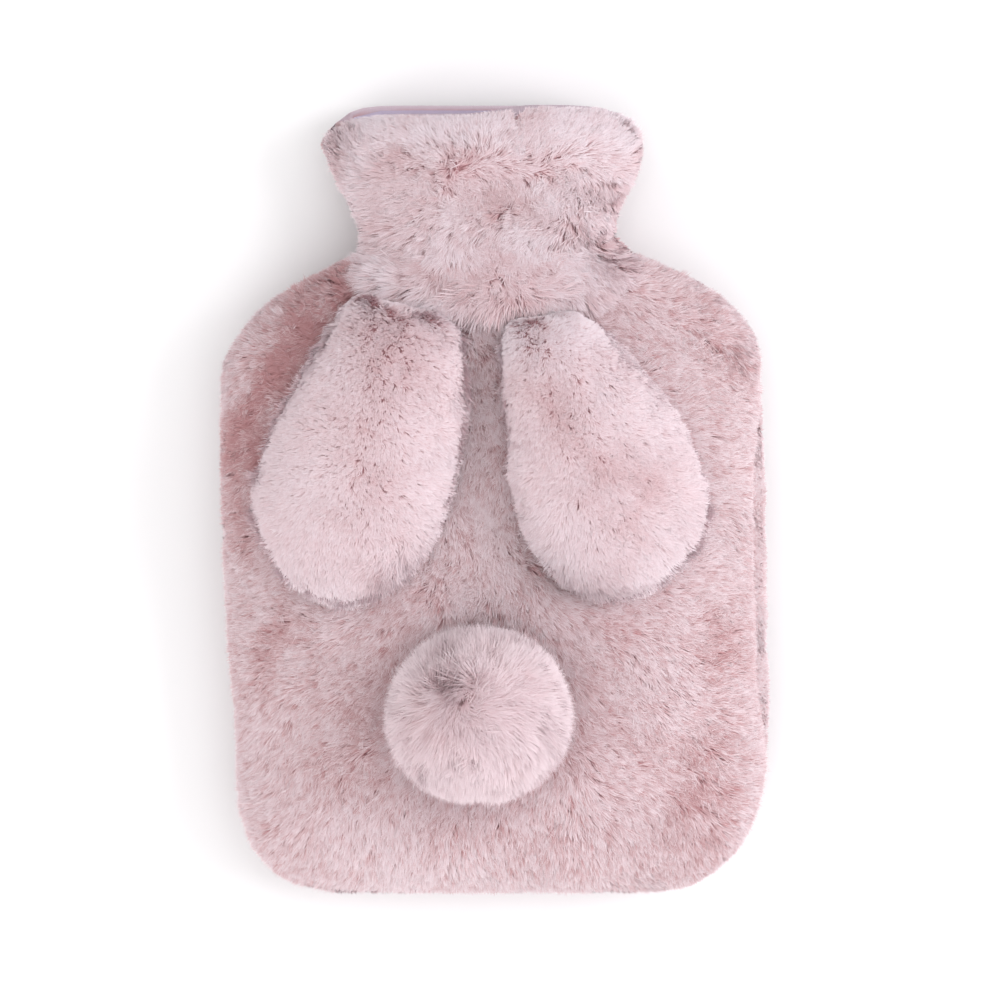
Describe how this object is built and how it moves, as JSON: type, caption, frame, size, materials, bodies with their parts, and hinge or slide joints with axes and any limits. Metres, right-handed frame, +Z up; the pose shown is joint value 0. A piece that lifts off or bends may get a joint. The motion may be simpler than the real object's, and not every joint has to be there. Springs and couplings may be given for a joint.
{
  "type": "hot water bottle cover",
  "caption": "Pale pink plush cover for a hot water bottle, with a flared neck, floppy ears and a round pompom tail",
  "frame": {"origin": "on the surface that the cover's back lies on, under the middle of its box", "axes": "+X across the cover to the right as seen from the front, +Y from its foot to its mouth, +Z up through its front"},
  "size_m": [0.2289, 0.33, 0.1197],
  "materials": {
    "body_plush": "dusty pink long-pile plush, mottled",
    "neck_plush": "dusty pink long-pile plush with paler tips",
    "back_plush": "dusty pink long-pile plush",
    "facing_satin": "smooth lilac woven facing",
    "ear_plush": "pale pink long-pile plush, whitish at its edge",
    "tail_fur": "dense pale pink fur"
  },
  "bodies": {
    "root": {"body_front": "body_plush", "neck_front": "neck_plush", "back_panel": "back_plush", "mouth_facing": "facing_satin", "ear_left": "ear_plush", "ear_right": "ear_plush", "pompom": "tail_fur"}
  },
  "joints": []
}
